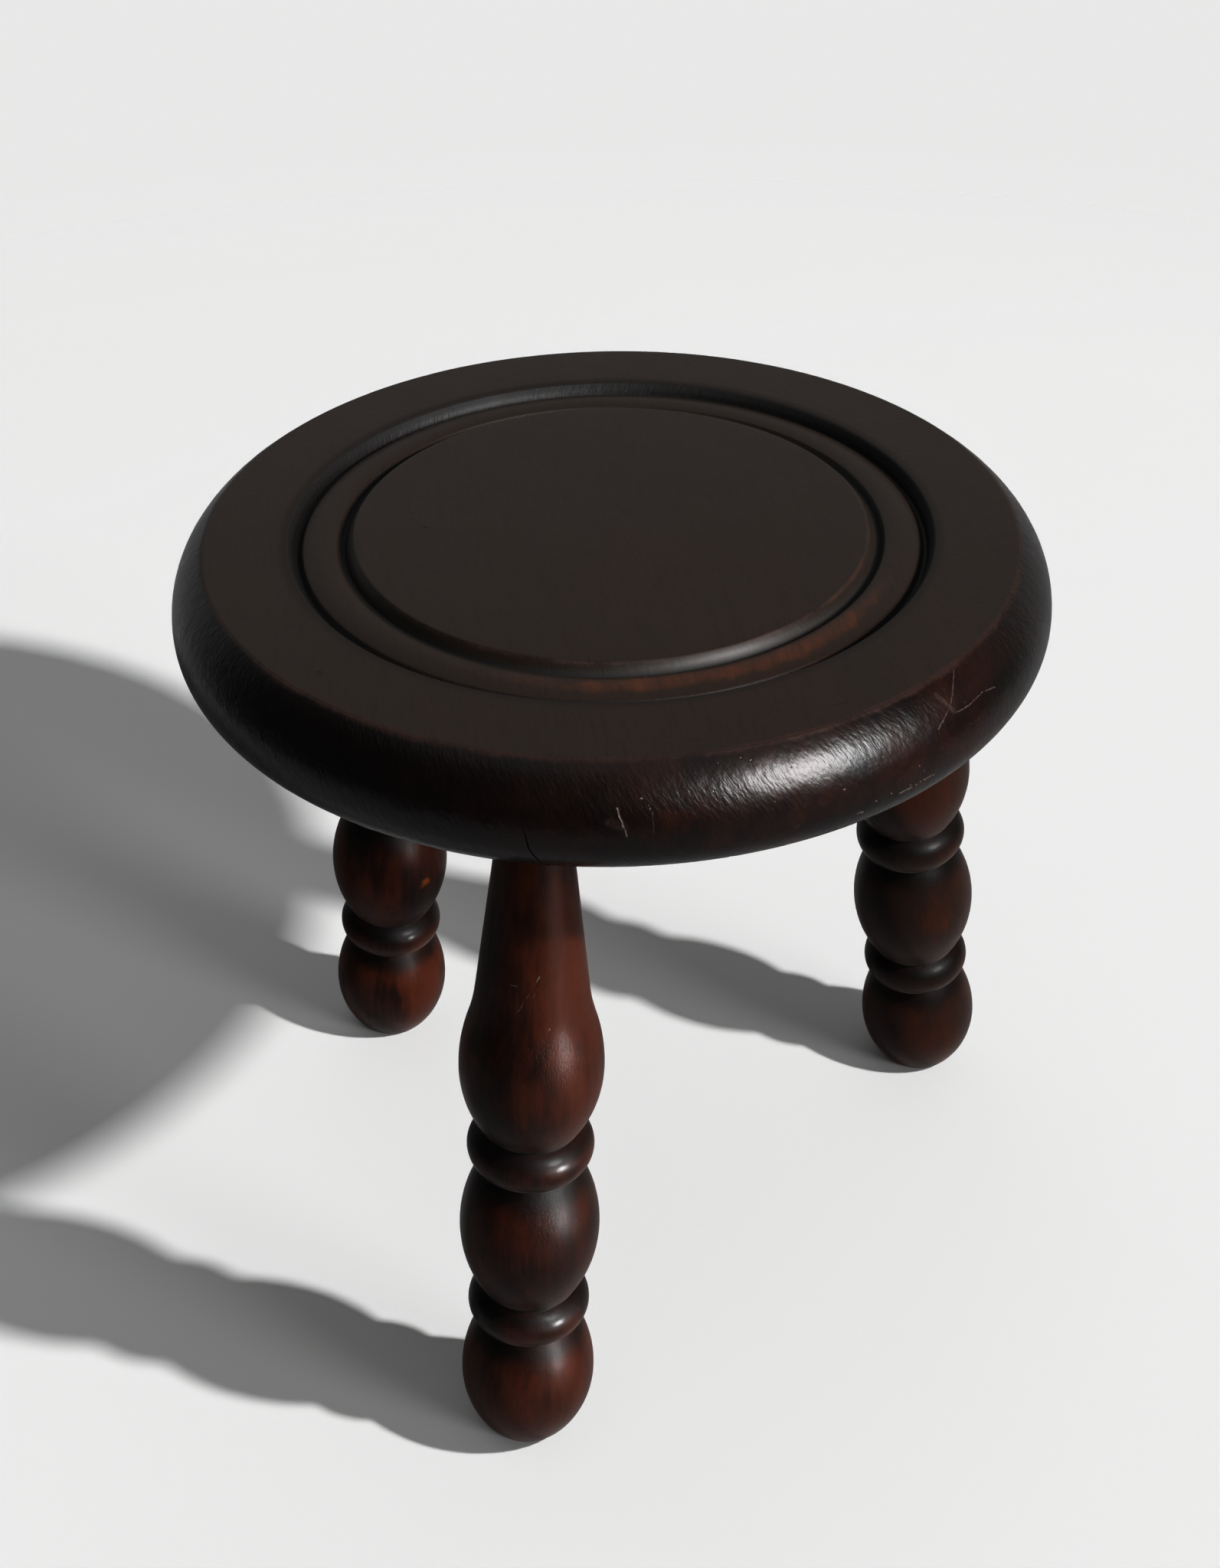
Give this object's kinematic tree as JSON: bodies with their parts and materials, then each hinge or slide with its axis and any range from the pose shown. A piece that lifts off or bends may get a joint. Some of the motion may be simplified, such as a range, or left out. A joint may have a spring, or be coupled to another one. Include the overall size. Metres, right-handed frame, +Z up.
{
  "type": "tripod stool",
  "caption": "Small round stool: a turned wooden seat with a moulded ring on top, standing on splayed turned legs with ball feet, wedged into blind mortises.",
  "frame": {"origin": "on the floor, under the middle of the stool's plan", "axes": "+Z up, +X to the right and +Y to the back as the stool is seen with its front leg towards the viewer"},
  "size_m": [0.3122, 0.317, 0.305],
  "materials": {
    "seat_wood": "very dark brown polish, glossy, worn at the edges",
    "leg_wood": "dark reddish brown polish, glossy, rubbed through in patches",
    "wedge_wood": "plain, unpolished"
  },
  "bodies": {
    "root": {"seat": "seat_wood", "leg_front": "leg_wood", "leg_left": "leg_wood", "leg_right": "leg_wood", "wedge_front": "wedge_wood", "wedge_left": "wedge_wood", "wedge_right": "wedge_wood"}
  },
  "joints": []
}
